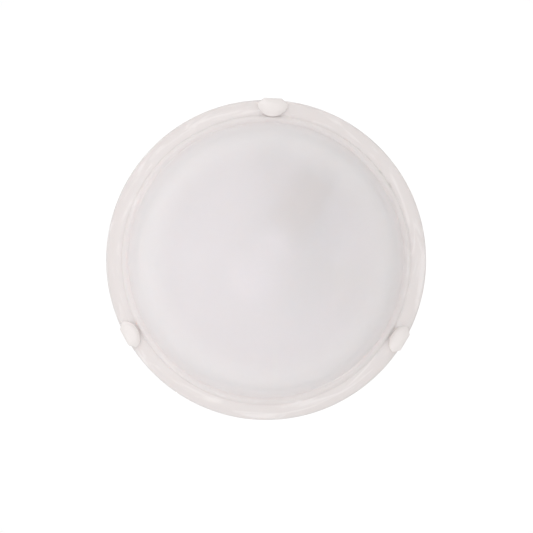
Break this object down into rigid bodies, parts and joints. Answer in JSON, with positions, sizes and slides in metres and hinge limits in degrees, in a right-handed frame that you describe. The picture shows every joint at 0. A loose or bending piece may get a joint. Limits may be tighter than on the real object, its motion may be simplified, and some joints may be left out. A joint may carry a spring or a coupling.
{
  "type": "flush mount ceiling light",
  "caption": "Round glass bowl ceiling light on a steel pan, held by two fixed hooks and one sprung hook, with a screw lampholder, lamp, terminal block and inner wiring.",
  "frame": {"origin": "centre of the pan on the ceiling plane; the light hangs below it", "axes": "+Z up, out of the ceiling face; seen from below with -Y up in the picture, +X is to the right and the sprung hook is at the top"},
  "size_m": [0.3, 0.3017, 0.0925],
  "materials": {
    "alabaster_glass": "satin milky glass with faint alabaster streaks",
    "white_enamel": "gloss white stove enamel",
    "zinc_steel": "bright zinc plating",
    "spring_steel": "drawn spring wire",
    "porcelain": "warm tan glazed porcelain",
    "brass": "plain brass",
    "bronze": "phosphor bronze strip",
    "soft_sleeve": "soft translucent sleeve",
    "grommet_rubber": "moulded rubber",
    "lamp_glass": "inside-frosted lamp glass",
    "lamp_aluminium": "pressed aluminium",
    "black_vitrite": "black glass insulator",
    "block_nylon": "natural nylon",
    "brown_sleeve": "brown wire sleeve",
    "blue_sleeve": "blue wire sleeve",
    "earth_sleeve": "green and yellow wire sleeve"
  },
  "bodies": {
    "root": {"glass_shade": "alabaster_glass", "base_plate": "white_enamel", "fixed_clips": "white_enamel", "guide_bracket": "zinc_steel", "guide_rod": "zinc_steel", "guide_rivets": "zinc_steel", "bracket_rivets": "zinc_steel", "clip_screws": "zinc_steel", "clip_nuts": "zinc_steel", "holder_bracket": "zinc_steel", "holder_screws": "zinc_steel", "holder_nuts": "zinc_steel", "holder_terminal_screws": "zinc_steel", "terminal_screws": "zinc_steel", "block_screw": "zinc_steel", "earth_screw": "brass", "earth_washer": "zinc_steel", "earth_nut": "brass", "ring_lug": "zinc_steel", "clip_spring": "spring_steel", "lampholder_body": "porcelain", "screw_shell": "brass", "centre_contact": "bronze", "holder_terminals": "brass", "terminal_tubes": "brass", "fixed_clip_liners": "soft_sleeve", "cable_grommet": "grommet_rubber", "terminal_block": "block_nylon", "live_lead": "brown_sleeve", "neutral_lead": "blue_sleeve", "earth_lead": "earth_sleeve"},
    "spring_clip": {"spring_clip": "white_enamel", "spring_clip_liner": "soft_sleeve"},
    "lamp_carriage": {"lamp_contact": "lamp_aluminium"},
    "lamp": {"lamp_bulb": "lamp_glass", "lamp_cap": "lamp_aluminium", "lamp_insulator": "black_vitrite"}
  },
  "joints": [
    {"name": "spring_clip_slide", "type": "slide", "parent": "root", "child": "spring_clip", "axis": [0.0419, -0.9991, 0], "range_m": [0, 0.017], "stiffness_N_per_m": 400, "springref_m": -0.02, "deforming": ["clip_spring"]},
    {"name": "lamp_advance", "type": "slide", "parent": "root", "child": "lamp_carriage", "axis": [-0.5446, 0.8387, 0], "range_m": [0, 0.0109]},
    {"name": "lamp_turn", "type": "hinge", "parent": "lamp_carriage", "child": "lamp", "pos_m": [0.01797, -0.02768, -0.048], "axis": [-0.5446, 0.8387, 0], "range_deg": [0, 1080]}
  ],
  "couplings": [
    {"joint": "lamp_advance", "follows": "lamp_turn", "m_per_rad": 0.00057757}
  ]
}
